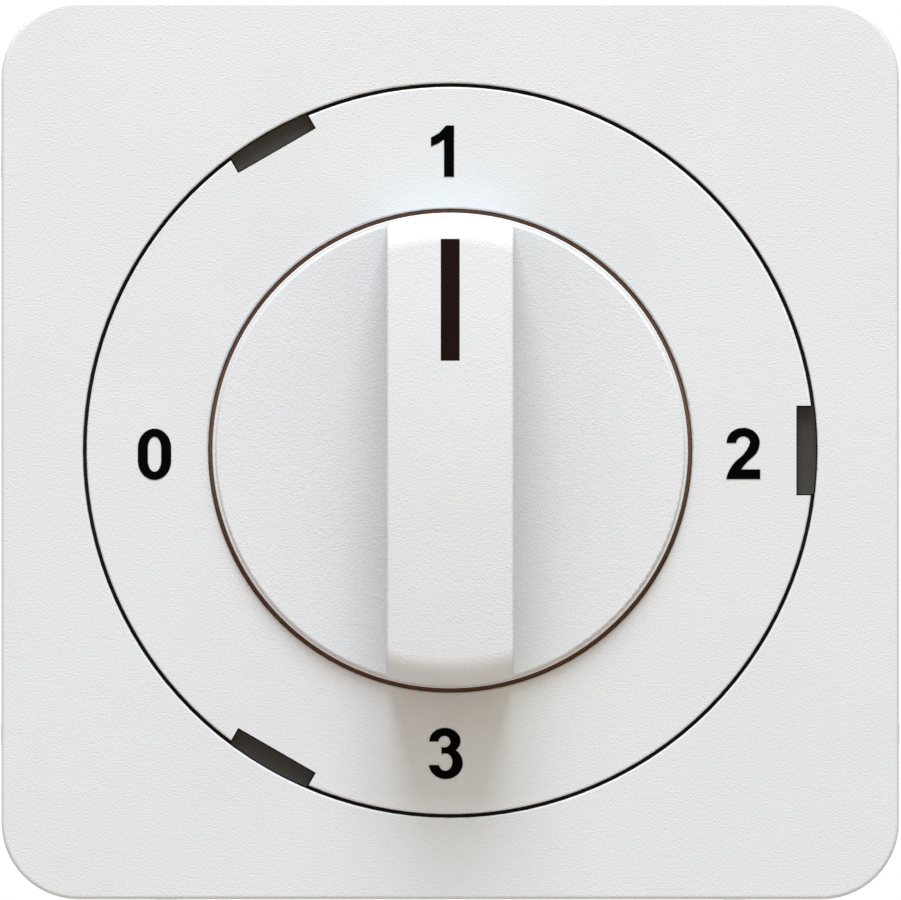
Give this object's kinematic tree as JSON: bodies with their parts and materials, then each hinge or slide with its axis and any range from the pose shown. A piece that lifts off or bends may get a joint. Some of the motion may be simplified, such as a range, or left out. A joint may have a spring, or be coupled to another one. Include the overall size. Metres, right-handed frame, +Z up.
{
  "type": "rotary step switch",
  "caption": "Flush-mounted rotary switch: square white centre plate, numbered dial ring, finger knob, claws and a rear switch block with screw terminals.",
  "frame": {"origin": "on the shaft's axis in the wall's plane, which is the support ring's back face", "axes": "+Z up, +X right as seen from the front, +Y into the wall along the shaft; the front faces -Y"},
  "size_m": [0.0702, 0.0404, 0.0702],
  "materials": {
    "plate_white_plastic": "fine matt texture",
    "dial_white_plastic": "fine matt texture",
    "knob_white_plastic": "fine matt texture",
    "pointer_dark_plastic": "satin",
    "print_black": "flat printing ink",
    "carrier_grey_plastic": "moulded, matt",
    "seal_brown": "matt",
    "zinc_steel": "zinc plated sheet",
    "screw_steel": "zinc plated",
    "rivet_steel": "bright",
    "nut_steel": "zinc plated",
    "spring_steel": "bright hardened",
    "spindle_steel": "turned",
    "housing_thermoset": "moulded thermoset",
    "contact_plate_thermoset": "moulded thermoset",
    "cover_thermoset": "moulded thermoset",
    "bearing_brass": "turned",
    "contact_brass": "stamped",
    "clamp_brass": "nickel tinted",
    "contact_silver": "silver rivet",
    "cam_plastic": "glass filled, satin"
  },
  "bodies": {
    "switch_frame": {"support_ring": "zinc_steel", "ring_rivets": "rivet_steel", "switch_housing": "housing_thermoset", "contact_plate": "contact_plate_thermoset", "bearing_cover": "cover_thermoset", "housing_screws": "screw_steel", "bearing_bush": "bearing_brass", "bearing_washer": "spring_steel", "carrier_ring": "carrier_grey_plastic", "carrier_screws": "screw_steel", "knob_seal": "seal_brown", "centre_plate": "plate_white_plastic", "dial_ring": "dial_white_plastic", "numerals": "print_black", "detent_spring_left": "spring_steel", "detent_spring_right": "spring_steel", "common_contact": "contact_brass", "contact_1": "contact_brass", "contact_2": "contact_brass", "contact_3": "contact_brass", "terminal_clamps": "clamp_brass", "terminal_screws": "screw_steel", "claw_screws": "screw_steel", "claw_pins": "rivet_steel"},
    "knob_unit": {"knob": "knob_white_plastic", "pointer_inlay": "pointer_dark_plastic", "knob_clip": "spring_steel", "spindle": "spindle_steel", "circlip": "spring_steel", "detent_cam": "cam_plastic", "contact_carrier": "cam_plastic", "wiper_contact": "contact_brass", "wiper_rivets": "contact_silver", "wiper_spring": "spring_steel"},
    "claw_left": {"claw_left": "zinc_steel"},
    "claw_right": {"claw_right": "zinc_steel"},
    "claw_nut_left": {"claw_nut_left": "nut_steel"},
    "claw_nut_right": {"claw_nut_right": "nut_steel"}
  },
  "joints": [
    {"name": "knob_turn", "type": "hinge", "parent": "switch_frame", "child": "knob_unit", "pos_m": [0, 0, 0], "axis": [0, 1, 0], "range_deg": [-90, 180], "deforming": ["detent_spring_left", "detent_spring_right"]},
    {"name": "claw_right_swing", "type": "hinge", "parent": "switch_frame", "child": "claw_right", "pos_m": [0.02, 0.0024, 0], "axis": [0, 0, -1], "range_deg": [0, 25]},
    {"name": "claw_left_swing", "type": "hinge", "parent": "switch_frame", "child": "claw_left", "pos_m": [-0.02, 0.0024, 0], "axis": [0, 0, 1], "range_deg": [0, 25]},
    {"name": "claw_nut_right_slide", "type": "slide", "parent": "switch_frame", "child": "claw_nut_right", "axis": [0, -1, 0], "range_m": [0, 0.00182]},
    {"name": "claw_nut_left_slide", "type": "slide", "parent": "switch_frame", "child": "claw_nut_left", "axis": [0, -1, 0], "range_m": [0, 0.00182]}
  ],
  "couplings": [
    {"joint": "claw_right_swing", "follows": "claw_nut_right_slide", "rad_per_m": 240.1},
    {"joint": "claw_left_swing", "follows": "claw_nut_left_slide", "rad_per_m": 240.1}
  ]
}
